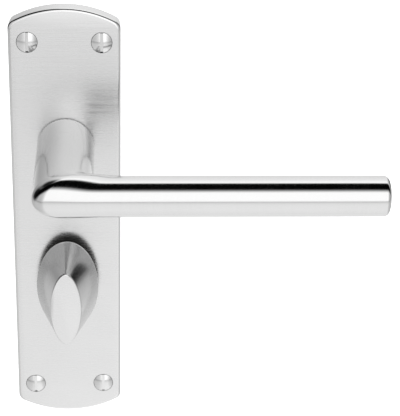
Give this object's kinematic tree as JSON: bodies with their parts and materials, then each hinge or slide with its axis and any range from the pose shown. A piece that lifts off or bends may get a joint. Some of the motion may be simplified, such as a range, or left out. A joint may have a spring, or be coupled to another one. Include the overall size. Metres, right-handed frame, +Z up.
{
  "type": "door lever handle",
  "caption": "Sprung door lever handle on a bow-ended backplate, with an oval bathroom turn below the lever, slotted face screws and square spindles.",
  "frame": {"origin": "where the lever's spindle axis crosses the door face, which is the plane of the plate's back", "axes": "+X the way the lever points, +Y into the door, away from the hand, +Z up"},
  "size_m": [0.1352, 0.14, 0.17],
  "materials": {
    "satin_stainless": "satin stainless steel, brushed across the plate and round the bar",
    "screw_stainless": "polished stainless steel",
    "zinc_plated_steel": "bright zinc plated steel",
    "spring_steel": "oiled spring steel",
    "blackened_steel": "blackened steel",
    "nylon": "natural moulded nylon"
  },
  "bodies": {
    "plate": {"backplate": "satin_stainless", "screw_top_left": "screw_stainless", "screw_top_right": "screw_stainless", "screw_bottom_left": "screw_stainless", "screw_bottom_right": "screw_stainless", "lever_bush": "nylon", "turn_bush": "nylon", "cassette_housing": "zinc_plated_steel", "cassette_cover": "zinc_plated_steel", "cassette_screw_upper": "zinc_plated_steel", "cassette_screw_lower": "zinc_plated_steel", "stop_pin": "zinc_plated_steel", "return_spring": "spring_steel", "turn_wave_washer": "spring_steel"},
    "lever": {"lever_handle": "satin_stainless", "lever_spindle": "zinc_plated_steel", "lever_grub_screw": "blackened_steel", "drive_cam": "zinc_plated_steel", "thrust_washer": "zinc_plated_steel", "lever_circlip": "spring_steel"},
    "turn": {"turn_knob": "satin_stainless", "turn_spindle": "zinc_plated_steel", "turn_grub_screw": "blackened_steel", "turn_circlip": "spring_steel"}
  },
  "joints": [
    {"name": "lever_press", "type": "hinge", "parent": "plate", "child": "lever", "pos_m": [0, 0, 0], "axis": [0, 1, 0], "range_deg": [0, 40], "stiffness_Nm_per_rad": 0.9, "springref_deg": -28.65, "deforming": ["return_spring"]},
    {"name": "turn_rotate", "type": "hinge", "parent": "plate", "child": "turn", "pos_m": [0, 0, -0.057], "axis": [0, 1, 0], "range_deg": [0, 90]}
  ]
}
